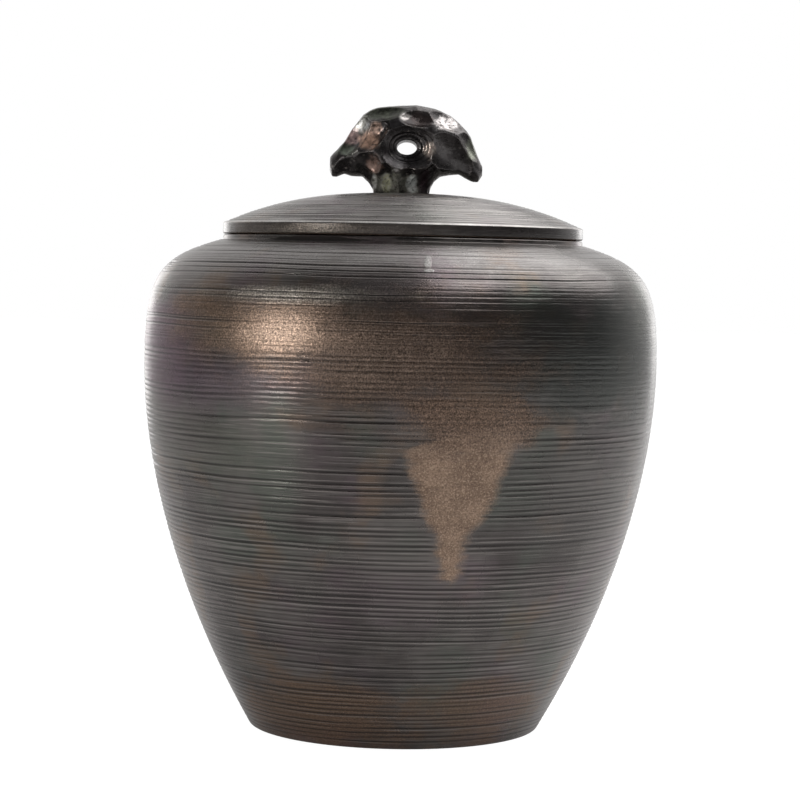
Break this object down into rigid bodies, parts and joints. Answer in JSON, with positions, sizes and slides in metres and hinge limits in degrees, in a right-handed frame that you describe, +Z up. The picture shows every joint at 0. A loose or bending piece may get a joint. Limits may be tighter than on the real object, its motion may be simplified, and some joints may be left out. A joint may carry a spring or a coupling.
{
  "type": "ceramic tea caddy",
  "caption": "Wide-shouldered combed stoneware tea caddy on a narrow foot, with a flush lift-off lid, a hidden sealing ring and a carved, pierced knob.",
  "frame": {"origin": "centre of the foot, on the surface that the jar stands on", "axes": "+Z up along the jar's turning axis, -Y towards the front of the knob, where its eye opens into the stepped bowl, +X to the right"},
  "size_m": [0.2, 0.2, 0.2426],
  "materials": {
    "combed_bronze_glaze": "combed metallic gunmetal glaze with bronze patches, satin",
    "combed_lid_glaze": "combed metallic gunmetal glaze, satin",
    "gunmetal_glaze": "dark metallic glaze with copper tints, glossy",
    "clear_silicone": "translucent food-grade silicone, matt"
  },
  "bodies": {
    "jar": {"jar_body": "combed_bronze_glaze"},
    "seal": {"seal_ring": "clear_silicone"},
    "lid": {"lid": "combed_lid_glaze", "knob": "gunmetal_glaze"}
  },
  "joints": [
    {"name": "lid_lift", "type": "slide", "parent": "jar", "child": "seal", "axis": [0, 0, 1], "range_m": [0, 0.12]},
    {"name": "lid_turn", "type": "hinge", "parent": "seal", "child": "lid", "pos_m": [0, 0, 0.19115], "axis": [0, 0, 1], "continuous": true}
  ]
}
